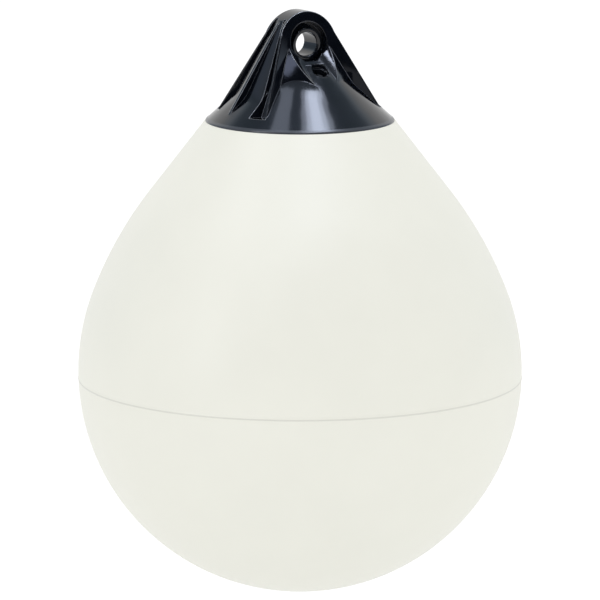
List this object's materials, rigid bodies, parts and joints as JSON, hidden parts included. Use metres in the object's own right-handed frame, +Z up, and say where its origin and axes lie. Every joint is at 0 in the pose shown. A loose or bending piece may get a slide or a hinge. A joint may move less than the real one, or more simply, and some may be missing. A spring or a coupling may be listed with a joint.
{
  "type": "ball fender",
  "caption": "Air-filled vinyl ball fender, teardrop shaped, moulded under a ribbed cap with a rope eye and a recessed air valve.",
  "frame": {"origin": "centre of the rope eye", "axes": "+Z up along the ball's centre line, +Y along the eye's bore; the valve and the moulded size mark's side face -Y"},
  "size_m": [0.5213, 0.5212, 0.6864],
  "materials": {
    "ball_vinyl": "soft white vinyl, satin",
    "cap_vinyl": "dark navy moulded vinyl, glossy",
    "valve_plastic": "moulded, satin",
    "seal_rubber": "matte",
    "screw_plastic": "moulded, satin"
  },
  "bodies": {
    "root": {"ball_body": "ball_vinyl", "rope_eye_cap": "cap_vinyl", "valve_body": "valve_plastic", "valve_seal": "seal_rubber", "valve_screw": "screw_plastic"}
  },
  "joints": []
}
